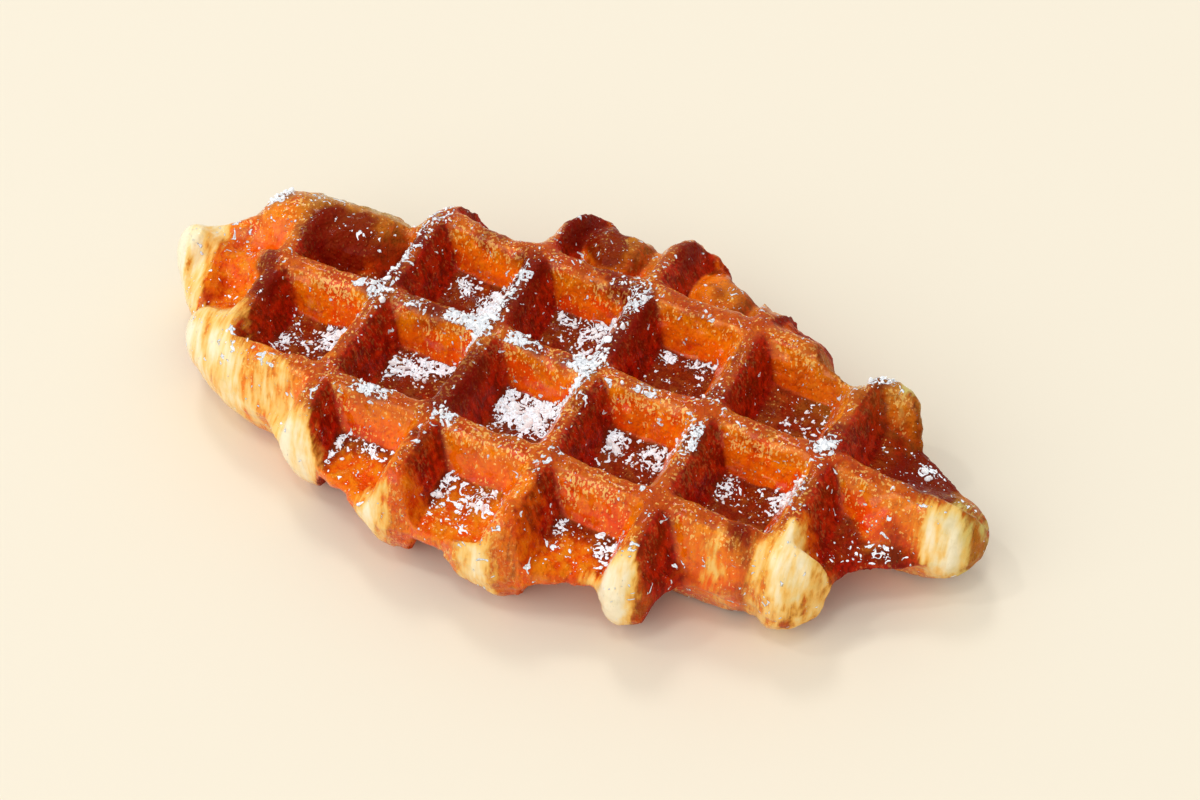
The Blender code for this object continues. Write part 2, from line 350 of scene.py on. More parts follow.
OLIVE = (
    (-55, 19.5, 7.5, 1.4), (-46, 20, 7, 1.3), (1, 33.5, 5, 1.2), (22, 32, 6, 0.9), (49, 22, 8, 0.8),
    (75, 12, 6, 1.5), (69, 17, 5, 1.3), (83, 4, 6, 1.6), (61, 24, 5, 1.3), (-79, 12, 6, 0.4),
    (-69, 16, 5, 0.9),
)
SUGAR = (
    (-35, 21, 5, 0.5), (-39, 9.5, 4, 0.75), (-39, 15, 4, 0.35), (-37, 4, 4, 0.35), (-29, -0.8, 4, 0.65),
    (-20.5, 0, 3.6, 0.7), (-15.5, -0.5, 3.2, 0.95), (-6.5, 0.3, 3.2, 1.0), (6, 1, 3.5, 1.0),
    (4.8, -3, 3, 0.9), (6.5, 19, 3.5, 0.3), (6.5, 12.5, 3.5, 0.4), (18.8, 0, 4, 0.5),
    (51.3, 2.2, 2.8, 1.1), (-16, 8.5, 4, 0.9), (-16.5, 16, 3.5, 0.7), (-15.5, 3, 3, 0.45),
    (-19.5, 11.5, 3.8, 1.1), (-26.5, 15, 3, 0.7), (-42.5, -7.5, 4, 0.95), (-46.5, -12, 3.5, 0.3),
    (-52.5, -12.5, 3, 0.75), (-56, -9, 2.6, 0.5), (-37, -1, 3.5, 0.7), (-22.5, -6.3, 3.8, 0.85),
    (-29, -9.5, 3.2, 0.85), (-2, -8.3, 5.4, 1.4), (-8, -6.8, 3, 0.9), (3, -5, 2.5, 0.8),
    (1, 15.5, 3.6, 0.75), (-5.8, 15.2, 2.8, 0.85), (14.8, -7.3, 4, 0.9), (23.5, -7.3, 3.2, 0.9),
    (30, -7.5, 4, 0.85), (14.8, 15, 2.8, 0.75), (22, 16.5, 3.5, 0.85), (49.5, -8, 3.4, 1.05),
    (37, -8.5, 4, 0.7), (69, -7.5, 3.6, 0.85), (62, -18, 3, 0.5), (68.2, 12.3, 1.8, 1.1),
    (55, 21.5, 4, 0.8), (0, -28.3, 3.6, 0.6), (-9.5, -28.8, 3.4, 0.95), (-9, -33, 3, 0.5),
    (24, -29.2, 3, 0.9), (13.5, -28.5, 3.6, 0.85), (37, -27, 3, 0.5), (-31.3, -29, 3.4, 1.1),
    (-23.5, -27, 2.8, 0.8), (-28, -22, 4, 0.6), (-11, -21, 2.8, 0.85), (43, 12, 5, 0.4),
    (-60, 17, 6, 0.2), (7, 20, 4, 0.5), (-70, 4, 3, 0.4), (-56, -23, 4, 0.4), (-51, -26.5, 2.8, 0.8),
    (-45.5, -26, 2.8, 0.7), (-67, 15.3, 3, 0.9), (29, 3, 4.5, 0.4), (-45, 14, 4, 0.4),
    (6.5, 7, 3.5, 0.5), (-2, -33, 4, 0.4), (1.2, -20.4, 3, 0.55), (10, -20.2, 3, 0.45),
    (-23.6, -20.9, 3, 0.5), (61.8, 20.6, 3, 0.5), (-19, -4, 2.5, 0.6), (-1.6, 8.9, 3, 0.5),
)


def spots(tree, field, table):
    """The sum of the spots at a place, each 1 times its amount at its middle."""
    total = None
    for spot_x, spot_y, radius, amount in table:
        away = square(field["x"] - (spot_x - MOVE.x)) + square(field["y"] - (spot_y - MOVE.y))
        one = (away / (-radius * radius)).math("EXPONENT") * amount
        total = one if total is None else total + one
    return total


print(len(SUGAR), "sugar patches")

# %% [markdown]
# ## The pastry as Geometry Nodes
#
# A Volume Cube samples the field every 0.69 mm and Volume to Mesh skins it. The relief is added on
# the skin, along its normals: blisters everywhere, streaks where the plates drew the dough down
# the pocket walls, strands over the free ridge ends, and thin layers round the edge. Pale dough
# hardly blistered, so it is calmer. A sculpted or image-based relief would not follow the form when
# the form changes, and this one does.

# %% Nodes for the relief
VOXEL = 0.69
BLISTER_SIZE = 3.4
BLISTER_HEIGHT = 0.34
DRAWN_SIZE = 1.5
DRAWN_HEIGHT = 0.16
FIBRE_SIZE = 2.0
FIBRE_HEIGHT = 0.32
LAYER_SIZE = 2.0
LAYER_HEIGHT = 0.2
LAYER_WAVE = 9.0
LAYER_REACH = (-3.0, -0.5)
CALM = 0.6


def new_input(tree, name, kind, default=None):
    socket = tree.interface.new_socket(name, in_out="INPUT", socket_type=kind)
    if default is not None:
        socket.default_value = default
    return socket


def store(tree, geometry, name, value):
    node = tree.nodes.new("GeometryNodeStoreNamedAttribute")
    node.data_type = "FLOAT"
    node.domain = "POINT"
    plug(tree, node.inputs["Geometry"], geometry)
    plug(tree, node.inputs["Name"], name)
    plug(tree, node.inputs["Value"], value)
    return node.outputs[0]


def relief(tree, field, normal, depth, seed):
    """How far the crust stands out, in millimetres."""
    x, y, z = field["x"], field["y"], field["z"]
    calm = 1.0 - ease(tree, spots(tree, field, PALE), 0.3, 1.1) * CALM
    blisters = rough(tree, field["place"], BLISTER_SIZE, seed + 1.0, 2.0) * BLISTER_HEIGHT
    drawn = combine(tree, x, y, z * 0.12)
    streaks = rough(tree, drawn, DRAWN_SIZE, seed + 2.0, 1.0) * DRAWN_HEIGHT
    steep = 1.0 - abs(normal[2])
    over_end = combine(tree, x, y * 0.15, z * 0.15)
    strands = rough(tree, over_end, FIBRE_SIZE, seed + 3.0, 1.0, 0.3) * FIBRE_HEIGHT
    wave = noise(tree, field["place"], LAYER_WAVE, seed + 4.0)
    sheets = combine(tree, x * 0.1, y * 0.1, z + wave)
    layers = rough(tree, sheets, LAYER_SIZE, seed + 5.0, 1.0) * LAYER_HEIGHT
    edge = ease(tree, field["outside"], *LAYER_REACH)
    pressed = 1.0 - field["free"]
    stand = blisters + streaks * steep * pressed + strands * field["free"] + layers * edge
    return stand * calm * depth


print("the highest blisters stand out about", round(BLISTER_HEIGHT * 2, 1), "mm")

# %% [markdown]
# The masks for the colours are stored on the skin as named attributes before it is moved: how far
# down in a pocket a place is, whether it stayed free of the iron, which way it faces, and how much
# of each kind of spot it has. The material reads them back, so no image and no unwrapping is
# needed. The lowest points are held at the floor, so the croffle stands on its flats.


# %% Build the geometry tree
def pastry_nodes(material):
    tree = bpy.data.node_groups.new("waffle_pressed_dough", "GeometryNodeTree")
    new_input(tree, "Outline", "NodeSocketGeometry")
    new_input(tree, "Relief depth", "NodeSocketFloat", 1.0)
    new_input(tree, "Seed", "NodeSocketFloat", 11.0)
    tree.interface.new_socket("Pastry", in_out="OUTPUT", socket_type="NodeSocketGeometry")
    start = tree.nodes.new("NodeGroupInput")
    end = tree.nodes.new("NodeGroupOutput")
    field = dough_field(tree, start.outputs["Outline"])

    low = [min(p[i] for p in OUTLINE) - AROUND for i in (0, 1)] + [-ABOVE]
    high = [max(p[i] for p in OUTLINE) + AROUND for i in (0, 1)] + [THICKNESS + ABOVE]
    cube = tree.nodes.new("GeometryNodeVolumeCube")
    plug(tree, cube.inputs["Density"], -field["solid"])
    plug(tree, cube.inputs["Background"], FAR_OUTSIDE)
    plug(tree, cube.inputs["Min"], low)
    plug(tree, cube.inputs["Max"], high)
    for i, axis in enumerate("XYZ"):
        plug(tree, cube.inputs[f"Resolution {axis}"], math.ceil((high[i] - low[i]) / VOXEL))
    skin = tree.nodes.new("GeometryNodeVolumeToMesh")
    skin.resolution_mode = "GRID"
    plug(tree, skin.inputs["Volume"], cube.outputs[0])
    plug(tree, skin.inputs["Threshold"], 0.0)

    normal = tree.nodes.new("GeometryNodeInputNormal").outputs[0]
    turned = separate(tree, normal)
    geometry = skin.outputs[0]
    facts = {
        "pocket": field["wall"], "free": field["free"], "crosswise": field["crosswise"],
        "lee": turned[0], "up": turned[2], "pale": spots(tree, field, PALE),
        "toasted": spots(tree, field, TOASTED), "olive": spots(tree, field, OLIVE),
        "warm": spots(tree, field, WARM), "sugar": spots(tree, field, SUGAR),
    }
    for name, value in facts.items():
        geometry = store(tree, geometry, name, value)

    stand = relief(tree, field, turned, Num(tree, start.outputs["Relief depth"]),
                   Num(tree, start.outputs["Seed"]))
    shift = tree.nodes.new("ShaderNodeVectorMath")
    shift.operation = "SCALE"
    plug(tree, shift.inputs[0], normal)
    plug(tree, shift.inputs["Scale"], stand)
    raised = tree.nodes.new("GeometryNodeSetPosition")
    plug(tree, raised.inputs["Geometry"], geometry)
    plug(tree, raised.inputs["Offset"], shift.outputs[0])

    place = separate(tree, tree.nodes.new("GeometryNodeInputPosition").outputs[0])
    stood = tree.nodes.new("GeometryNodeSetPosition")
    plug(tree, stood.inputs["Geometry"], raised.outputs[0])
    on_foot = combine(tree, place[0], place[1], place[2].math("MAXIMUM", -MOVE.z))
    plug(tree, stood.inputs["Position"], on_foot)

    to_metres = tree.nodes.new("GeometryNodeTransform")
    plug(tree, to_metres.inputs["Geometry"], stood.outputs[0])
    plug(tree, to_metres.inputs["Translation"], MOVE * MM)
    plug(tree, to_metres.inputs["Scale"], (MM, MM, MM))
    real = tree.nodes.new("GeometryNodeRealizeInstances")
    plug(tree, real.inputs[0], to_metres.outputs[0])
    painted = tree.nodes.new("GeometryNodeSetMaterial")
    plug(tree, painted.inputs["Geometry"], real.outputs[0])
    painted.inputs["Material"].default_value = material
    tree.links.new(painted.outputs[0], end.inputs[0])
    return tree


print("field sampled every", VOXEL, "mm")

# %% [markdown]
# ## Colours as shader groups
#
# Colours are given as they look on a screen, from 0 to 255, and turned to the linear values that
# the shader wants. Two groups carry the effects. `baked_colour` mixes the browns by how the dough
# met the iron. `sugar_dust` makes the mask of fine icing sugar. Both give only colours, masks and
# heights, so the Principled shader itself stays in each material.


# %% Shader helpers
def linear(*shown):
    """A colour as shown on a screen, from 0 to 255, as linear values."""
    parts = [v / 255 for v in shown]
    return [v / 12.92 if v <= 0.04045 else ((v + 0.055) / 1.055) ** 2.4 for v in parts] + [1.0]


def mix(tree, amount, first, second):
    node = tree.nodes.new("ShaderNodeMix")
    node.data_type = "RGBA"
    plug(tree, node.inputs[0], amount)
    plug(tree, node.inputs[6], first)
    plug(tree, node.inputs[7], second)
    return node.outputs[2]


def attribute(tree, name):
    node = tree.nodes.new("ShaderNodeAttribute")
    node.attribute_name = name
    return Num(tree, node.outputs["Fac"])


def clamp(value):
    return value.math("MAXIMUM", 0.0).math("MINIMUM", 1.0)


def millimetres(tree):
    """The object's own coordinates, in millimetres."""
    coordinates = tree.nodes.new("ShaderNodeTexCoord")
    scale = tree.nodes.new("ShaderNodeVectorMath")
    scale.operation = "SCALE"
    tree.links.new(coordinates.outputs["Object"], scale.inputs[0])
    scale.inputs["Scale"].default_value = 1000.0
    return scale.outputs[0]


def shader_group(name, inputs, outputs):
    group = bpy.data.node_groups.new(name, "ShaderNodeTree")
    for label, default in inputs.items():
        new_input(group, label, "NodeSocketFloat", default)
    for label, kind in outputs.items():
        group.interface.new_socket(label, in_out="OUTPUT", socket_type=kind)
    return group, group.nodes.new("NodeGroupInput"), group.nodes.new("NodeGroupOutput")


def use(tree, group, **values):
    node = tree.nodes.new("ShaderNodeGroup")
    node.node_tree = group
    for label, value in values.items():
        plug(tree, node.inputs[label], value)
    return node


print("a mid grey of 128 is", round(linear(128)[0], 3))

# %% [markdown]
# ### The baked crust's colour
#
# On a real croffle the sugar in the dough caramelises where the iron touches it. Crests are brown,
# darkest on the ridges across the roll. The walls are bright caramel orange with embers of red and
# streaks of gold, and the floors are dark. Walls that face along the roll, to the right, are painted
# a deeper red as painted shade. Small golden flecks are painted highlights. Free surfaces are golden,
# or cream with golden veins where the dough hardly browned; the cream turns golden as painted shade
# where it faces right or down.
#
# A painted image could hold all this, but it would need an unwrapping and would blur close up. Here
# layers of noise in the object's own millimetres vary each colour, and the stored masks place it.
# Noise that is squeezed along one direction makes streaks, strands and bands.


# %% The group for the baked colour
CREST = linear(182, 58, 4)
BURNT = linear(114, 22, 2)
TOP_WALL = linear(252, 140, 8)
WALL = linear(255, 112, 2)
LOW_WALL = linear(236, 78, 2)
EMBER = linear(238, 50, 0)
RIM_RED = linear(186, 36, 0)
PAINTED_SHADE_WALL = linear(182, 18, 2)
PAINTED_SHADE_LOW = linear(116, 4, 0)
FLOOR = linear(142, 54, 14)
UNDER_SUGAR = linear(98, 34, 12)
GOLD = linear(248, 178, 62)
AMBER = linear(232, 116, 14)
BUTTER = linear(252, 214, 138)
PAINTED_GLINT = linear(255, 206, 112)
CREAM = linear(255, 240, 206)
DARK = linear(118, 8, 2)
GREEN = linear(176, 124, 32)
PALE_GREEN = linear(206, 182, 98)
CLOUD_SIZE = 8.0
DRIFT_SIZE = 5.0
BAND_SIZE = 2.6
PATCH_SIZE = 2.4
STREAK_SIZE = 0.75
STRAND_SIZE = 0.7
SPECK_SIZE = 0.6
STROKE_SIZE = 0.42
FINE_SIZE = 0.38


def baked_colour_group():
    names = ("Pocket", "Free", "Lee", "Up", "Pale", "Toasted", "Olive", "Warm", "Crosswise")
    made = {"Color": "NodeSocketColor", "Height": "NodeSocketFloat"}
    group, start, end = shader_group("baked_colour", dict.fromkeys(names, 0.0), made)
    pocket, free, lee, up, pale, toasted, olive, warm, crosswise = (
        Num(group, start.outputs[name]) for name in names)
    place = millimetres(group)
    x, y, z = separate(group, place)
    cloud = rough(group, place, CLOUD_SIZE, 21.0, 2.0)
    patch = rough(group, place, PATCH_SIZE, 22.0, 2.0)
    drift = rough(group, place, DRIFT_SIZE, 27.0, 1.0)
    streak = rough(group, combine(group, x, y, z * 0.14), STREAK_SIZE, 23.0, 2.0)
    speck = rough(group, combine(group, x, y, z * 0.6), SPECK_SIZE, 24.0, 1.0)
    fine = rough(group, place, FINE_SIZE, 25.0, 1.0)
    over = combine(group, x, y * 0.2 + patch * 0.12, z * 0.2)
    strand = rough(group, over, STRAND_SIZE, 26.0, 2.0)
    slanting = combine(group, x + y * 0.3, y * 0.25, z * 0.25)
    band = rough(group, slanting, BAND_SIZE, 29.0, 1.0)

    flat = ease(group, abs(up), 0.6, 0.92)
    floor = clamp(flat * ease(group, pocket, 0.7, 0.97) + patch * 0.25 * flat)
    crest = clamp(flat * (1.0 - ease(group, pocket, 0.0, 0.2)) + patch * 0.3 * flat)
    rim = 1.0 - ease(group, pocket + patch * 0.12, 0.12, 0.62)
    # painted shade: the walls that face right, along the roll, are darkened where this mask is high
    shaded_side = ease(group, lee + patch * 0.06, -0.1, 0.55)

    # the walls, from their tops to the floor
    deep = pocket * 0.85 + patch * 0.16 + cloud * 0.24 + 0.05
    colour = mix(group, ease(group, deep, 0.1, 0.5), TOP_WALL, WALL)
    colour = mix(group, ease(group, deep, 0.5, 0.98), colour, LOW_WALL)
    ember = ease(group, drift + cloud * 0.5 - streak * 0.25, 0.1, 0.85)
    colour = mix(group, ember * 0.7, colour, EMBER)
    colour = mix(group, ease(group, streak - drift * 0.3, 0.2, 0.9) * 0.5, colour, TOP_WALL)
    colour = mix(group, ease(group, streak, -0.2, -0.9) * 0.35, colour, LOW_WALL)

    # the crests and their rims, then the floors
    burnt = mix(group, ease(group, patch + cloud * 0.7, -0.6, 0.2), BURNT, CREST)
    burnt = mix(group, ease(group, cloud + patch * 0.4, 0.0, 0.6) * 0.6, burnt, TOP_WALL)
    sunny = mix(group, clamp(patch * 0.8 + cloud * 0.6 + 0.05), CREST, AMBER)
    burnt = mix(group, clamp(crosswise * 0.7 + cloud * 0.4), sunny, burnt)
    reddish = clamp(rim * (1.0 - flat) * (patch * 0.7 - cloud * 0.5 + 0.5)) * 0.5
    colour = mix(group, reddish, colour, RIM_RED)
    colour = mix(group, crest * 0.92, colour, burnt)
    dark_floor = mix(group, ease(group, patch + fine * 0.4, -0.5, 0.7), BURNT, FLOOR)
    colour = mix(group, floor, colour, dark_floor)

    # warm floors, painted shade on the walls that face along the roll (to the right), and small burnt
    # pits
    glow = ease(group, warm + patch * 0.2, 0.25, 0.8)
    warm_floor = mix(group, clamp(patch * 0.6 + streak * 0.3 + 0.4), LOW_WALL, TOP_WALL)
    colour = mix(group, glow * 0.9, colour, warm_floor)
    shaded_wall_colour = mix(group, clamp(streak * 0.7 + patch * 0.5 + 0.5), PAINTED_SHADE_LOW, PAINTED_SHADE_WALL)
    colour = mix(group, shaded_side * (1.0 - glow * 0.6) * 0.95, colour, shaded_wall_colour)
    pits = ease(group, patch * 0.5 + speck * 0.6 - rim * 0.2, -0.6, -0.95)
    colour = mix(group, pits * 0.3, colour, DARK)

    # free surfaces: golden, olive or toasted
    free_gold = mix(group, clamp(patch * 0.4 + strand * 0.5 + 0.4), AMBER, GOLD)
    golden = clamp(free + pale * 0.5 - warm) * 0.85 * (1.0 - shaded_side * 0.75)
    colour = mix(group, golden, colour, free_gold)
    greenish = clamp(olive * 1.1 + patch * 0.2 + cloud * 0.1)
    colour = mix(group, greenish * clamp(free + 0.6) * (1.0 - shaded_side * 0.5), colour, GREEN)
    scorched = toasted * (rim * 0.6 + 0.4)
    char = ease(group, scorched + patch * 0.2 + cloud * 0.1 + strand * free * 0.15, 0.3, 0.85)
    charred = mix(group, clamp(strand * 0.6 + 0.3), DARK, BURNT)
    colour = mix(group, char * 0.92, colour, charred)

    # painted highlights: golden glints, drawn out on the walls and round on the crests
    cluster = clamp(rim * 0.5 + cloud * 0.35 + drift * 0.25)
    strokes = rough(group, combine(group, x, y, z * 0.22), STROKE_SIZE, 28.0, 1.0)
    strokes = strokes * (1.0 - flat) + speck * flat
    bright = ease(group, strokes.math("MAXIMUM", speck) + fine * 0.3 + cluster * 0.9, 0.95, 1.25)
    bright = bright * (1.0 - shaded_side * 0.9) * (1.0 - crest * 0.25)
    bright = bright * (1.0 - floor * 0.4) * (1.0 - char * 0.7)
    colour = mix(group, bright * 0.85, colour, PAINTED_GLINT)

    # pale dough with its veins, painted golden as shade where it faces right or down
    shade = clamp(ease(group, lee, 0.1, 0.9) * 0.7 + ease(group, up, 0.1, -0.6) * 0.7)
    uneven = patch * 0.1 + strand * 0.24 + band * 0.36 + cloud * 0.14
    light = pale.math("MINIMUM", 1.7) * (free * 0.4 + 0.6) * (1.0 - shade * 0.6)
    light = light + uneven * clamp(pale * 2.0)
    cream = mix(group, ease(group, light, 0.35, 1.2), GOLD, BUTTER)
    cream = mix(group, ease(group, light, 0.8, 1.7), cream, CREAM)
    cream = mix(group, clamp(olive * 0.9 + patch * 0.2), cream, PALE_GREEN)
    colour = mix(group, ease(group, light, 0.2, 0.75), colour, cream)
    group.links.new(colour, end.inputs["Color"])

    height = streak * 0.12 + patch * 0.32 + speck * 0.1 + strand * free * 0.2 + fine * 0.03
    height = height * (1.0 - ease(group, light, 0.3, 0.9) * 0.75)
    group.links.new(height.socket, end.inputs["Height"])
    return group


baked_colour = baked_colour_group()
print(baked_colour.name, "has", len(baked_colour.nodes), "nodes")

# %% [markdown]
# ### The sugar's mask
#
# Icing sugar falls from above, so it needs a surface that faces up, and little lies on the side
# that turns away. Strewing every grain as a mesh would take millions of faces, so the fine sugar is
# a mask. The mask is noise cut at a level: the more sugar a patch has, the lower the level and the
# more of the crust is white. Flakes are the noise's peaks, curls are the lines where another noise
# crosses zero, and dots are fine peaks.


# %% The group for the sugar
FLAKE_SIZE = 1.7
CURL_SIZE = 2.2
DOT_SIZE = 0.5
SUGAR_DRIFT_SIZE = 6.0
MOST_SUGAR = 1.35


def sugar_dust_group():
    names = ("Amount", "Up", "Lee", "Free")
    made = {"Mask": "NodeSocketFloat", "Height": "NodeSocketFloat"}
    group, start, end = shader_group("sugar_dust", dict.fromkeys(names, 0.0), made)
    amount, up, lee, free = (Num(group, start.outputs[name]) for name in names)
    place = millimetres(group)
    flakes = rough(group, place, FLAKE_SIZE, 31.0, 0.6, 1.4)
    curls = 0.75 - abs(rough(group, place, CURL_SIZE, 34.0, 0.6, 1.2)) * 2.6
    fine = rough(group, place, DOT_SIZE, 32.0, 1.0)
    drift = rough(group, place, SUGAR_DRIFT_SIZE, 33.0, 1.0)
    lying = ease(group, up - lee * 0.45, 0.4, 0.88)
    wanted = (amount * 1.08 + 0.1 + drift * 0.24) * lying * (1.0 - free * 0.4)
    wanted = wanted.math("MAXIMUM", 0.0).math("MINIMUM", MOST_SUGAR)
    level = 1.18 - wanted * 1.1
    lump = flakes.math("MAXIMUM", curls * ease(group, wanted, 0.3, 0.9)) + fine * 0.1
    mask = ease(group, lump, level, level + 0.07)
    dot_level = 1.32 - wanted * 0.5
    dots = ease(group, fine + flakes * 0.3 + lying * 0.16, dot_level, dot_level + 0.08)
    mask = clamp(mask + dots * (lying * 0.8 + 0.2))
    group.links.new(mask.socket, end.inputs["Mask"])
    group.links.new((mask * (fine * 0.4 + 1.0)).socket, end.inputs["Height"])
    return group


sugar_dust = sugar_dust_group()
print(sugar_dust.name, "has", len(sugar_dust.nodes), "nodes")

# %% [markdown]
# ### The two finishes
#
# The caramel on the crust is a thin clear coat over the browned dough. It shines on the walls and
# less on the crests. There is none under the sugar, and hardly any in the sunken floors, on the
# toasted ends and on the walls that turn away. Between the flakes of sugar the crust is darker.
# A little light is added to sugar at the bottom of a pocket, as it bounces between the white
# flakes. The lumps are matt white with a faint light of their own, because sugar lets light through.

# %% The crust's material
SUGAR_WHITE = linear(251, 252, 255)
BLACK = (0.0, 0.0, 0.0, 1.0)
BOUNCED_LIGHT = (0.78, 0.9, 1.0, 1.0)
CARAMEL_TINT = (1.0, 0.5, 0.2, 1.0)
MOST_GLAZE = 0.6
BUMP_HEIGHT = 0.7 * MM


def crust_material():
    material = bpy.data.materials.new("baked_crust")
    material.use_nodes = True
    tree = material.node_tree
    shader = tree.nodes["Principled BSDF"]
    baked_from = ("pocket", "free", "lee", "up", "pale", "toasted", "olive", "warm", "crosswise")
    facts = {name: attribute(tree, name) for name in (*baked_from, "sugar")}
    baked = use(tree, baked_colour, **{name.title(): facts[name] for name in baked_from})
    dust = use(tree, sugar_dust, Amount=facts["sugar"], Up=facts["up"], Lee=facts["lee"],
               Free=facts["free"])
    mask = Num(tree, dust.outputs["Mask"])
    pale = ease(tree, facts["pale"], 0.2, 0.6)
    sugary = ease(tree, facts["sugar"], 0.2, 0.8)
    beneath = sugary * ease(tree, facts["up"], 0.4, 0.8) * (1.0 - pale) * 0.7
    colour = mix(tree, beneath, baked.outputs["Color"], UNDER_SUGAR)
    colour = mix(tree, mask, colour, SUGAR_WHITE)
    tree.links.new(colour, shader.inputs["Base Color"])
    roughness = mask * 0.4 + ease(tree, facts["lee"], 0.0, 0.7) * 0.3 + 0.34
    tree.links.new(roughness.socket, shader.inputs["Roughness"])
    shader.inputs["Specular IOR Level"].default_value = 0.1
    shader.inputs["Specular Tint"].default_value = CARAMEL_TINT
    sunk = ease(tree, facts["pocket"], 0.5, 0.95) * ease(tree, facts["up"], 0.4, 0.9)
    shaded = ease(tree, facts["lee"], 0.1, 0.7)
    matt = ease(tree, facts["toasted"], 0.3, 1.0)
    on_top = ease(tree, facts["up"], 0.6, 0.95)
    glaze = (1.0 - mask) * (1.0 - sunk * 0.85) * (1.0 - shaded * 0.9) * (1.0 - matt * 0.8)
    glaze = glaze * (1.0 - on_top * 0.6) * MOST_GLAZE
    tree.links.new(glaze.socket, shader.inputs["Coat Weight"])
    shader.inputs["Coat Roughness"].default_value = 0.07
    bounced = mix(tree, mask * sunk * 0.3, BLACK, BOUNCED_LIGHT)
    tree.links.new(bounced, shader.inputs["Emission Color"])
    shader.inputs["Emission Strength"].default_value = 1.0
    bump = tree.nodes.new("ShaderNodeBump")
    bump.inputs["Strength"].default_value = 1.0
    bump.inputs["Distance"].default_value = BUMP_HEIGHT
    height = Num(tree, baked.outputs["Height"]) + Num(tree, dust.outputs["Height"]) * 0.8
    plug(tree, bump.inputs["Height"], height)
    tree.links.new(bump.outputs[0], shader.inputs["Normal"])
    return material


crust = crust_material()
print("material:", crust.name)


# %% The sugar's material
GRAIN_SIZE = 0.3
GRAIN_HEIGHT = 0.2 * MM


def sugar_material():
    material = bpy.data.materials.new("icing_sugar")
    material.use_nodes = True
    tree = material.node_tree
    shader = tree.nodes["Principled BSDF"]
    place = millimetres(tree)
    grain = noise(tree, place, GRAIN_SIZE, 41.0, 2.0)
    colour = mix(tree, clamp(grain * 0.8 + 0.4), linear(255, 254, 252), linear(236, 233, 232))
    tree.links.new(colour, shader.inputs["Base Color"])
    shader.inputs["Roughness"].default_value = 0.85
    shader.inputs["Emission Color"].default_value = (0.7, 0.9, 1.0, 1.0)
    shader.inputs["Emission Strength"].default_value = 0.1
    bump = tree.nodes.new("ShaderNodeBump")
    bump.inputs["Strength"].default_value = 0.5
    bump.inputs["Distance"].default_value = GRAIN_HEIGHT
    plug(tree, bump.inputs["Height"], grain)
    tree.links.new(bump.outputs[0], shader.inputs["Normal"])
    return material


sugar = sugar_material()
print("material:", sugar.name)

# %% [markdown]
# ## Make the pastry
#
# The outline is a closed Bezier curve with automatic handles, so it passes smoothly through its
# points. Filled with one face, it is what the tree measures distances from. The evaluated mesh is
# then kept as a plain mesh, and the modifier goes.


# %% Evaluate the pastry
def plain_mesh(obj):
    graph = bpy.context.evaluated_depsgraph_get()
    return bpy.data.meshes.new_from_object(obj.evaluated_get(graph))


def flat_outline(name):
    curve = bpy.data.curves.new("outline", "CURVE")
    curve.dimensions = "2D"
    curve.fill_mode = "NONE"
    curve.resolution_u = OUTLINE_STEPS
    spline = curve.splines.new("BEZIER")
    spline.bezier_points.add(len(OUTLINE) - 1)
    for point, (x, y) in zip(spline.bezier_points, OUTLINE):
        point.co = (x, y, 0.0)
        point.handle_left_type = point.handle_right_type = "AUTO"
    spline.use_cyclic_u = True
    drawn = bpy.data.objects.new("outline", curve)
    bpy.context.scene.collection.objects.link(drawn)
    mesh = plain_mesh(drawn)
    bpy.data.objects.remove(drawn)
    shape = bmesh.new()
    shape.from_mesh(mesh)
    bmesh.ops.contextual_create(shape, geom=shape.edges[:])
    shape.to_mesh(mesh)
    shape.free()
    made = bpy.data.objects.new(name, mesh)
    bpy.context.scene.collection.objects.link(made)
    return made


def set_input(modifier, name, value):
    for item in modifier.node_group.interface.items_tree:
        if item.item_type == "SOCKET" and item.in_out == "INPUT" and item.name == name:
            modifier[item.identifier] = value


def triangles(mesh):
    mesh.calc_loop_triangles()
    return len(mesh.loop_triangles)


pastry = flat_outline("pressed_pastry")
press = pastry.modifiers.new("press", "NODES")
press.node_group = pastry_nodes(crust)
set_input(press, "Relief depth", 1.0)
set_input(press, "Seed", 11.0)
skin_mesh = plain_mesh(pastry)
pastry.modifiers.clear()
pastry.data = skin_mesh
skin_mesh.shade_smooth()
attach(pastry, "root")
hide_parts("croffle")
print("pastry:", triangles(skin_mesh), "triangles")

# %% [markdown]
# ## Sugar that stands up
#
# The mask in the material is flat. Real icing sugar also lies in small lumps, so lumps and grains
# are scattered over the pastry with Geometry Nodes: points on its faces, denser where the stored
# sugar amount is high and the surface faces up, a small ball on each, squashed, turned and sized at
# random from a fixed seed, and then made ragged with noise. Placing them by hand would take hours,
# and a particle system would need its density painted as weights.


# %% Nodes that scatter sugar
RAGGED_SIZE = 0.6 * MM
RAGGED_HEIGHT = 0.18 * MM
PATCHY_SIZE = 4.0 * MM
SUGAR_FADE = 0.7
FULL_TURN = 6.3
SLIMMEST = (0.5, 0.45, 0.3)
FATTEST = (1.6, 0.9, 0.6)


